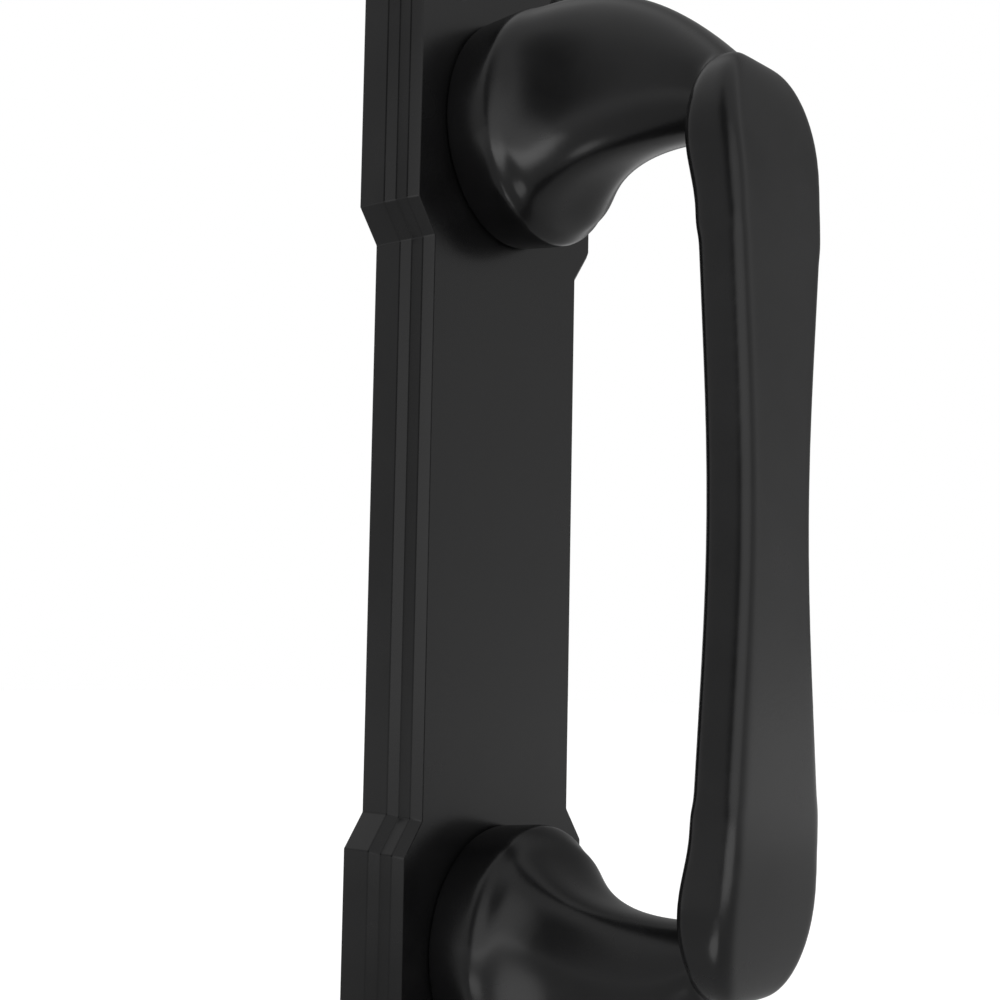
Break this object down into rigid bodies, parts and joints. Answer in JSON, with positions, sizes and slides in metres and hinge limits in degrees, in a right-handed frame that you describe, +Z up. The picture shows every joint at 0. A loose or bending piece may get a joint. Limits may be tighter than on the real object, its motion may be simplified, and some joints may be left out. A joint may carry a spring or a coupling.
{
  "type": "barn door pull handle",
  "caption": "Black D-shaped barn door pull: a waisted bevelled grip on flared horn arms and oval feet, screwed from behind to a stepped backplate with wider ends.",
  "frame": {"origin": "centre of the backplate's back face, where it lies against the door", "axes": "+Z up along the plate, +X to the right seen from the front, +Y into the door, so the pull stands out along -Y"},
  "size_m": [0.051, 0.0622, 0.2],
  "materials": {
    "black_coat": "satin",
    "dark_steel": "satin"
  },
  "bodies": {
    "root": {"backplate": "black_coat", "pull_handle": "black_coat", "fixing_screws": "dark_steel"}
  },
  "joints": []
}
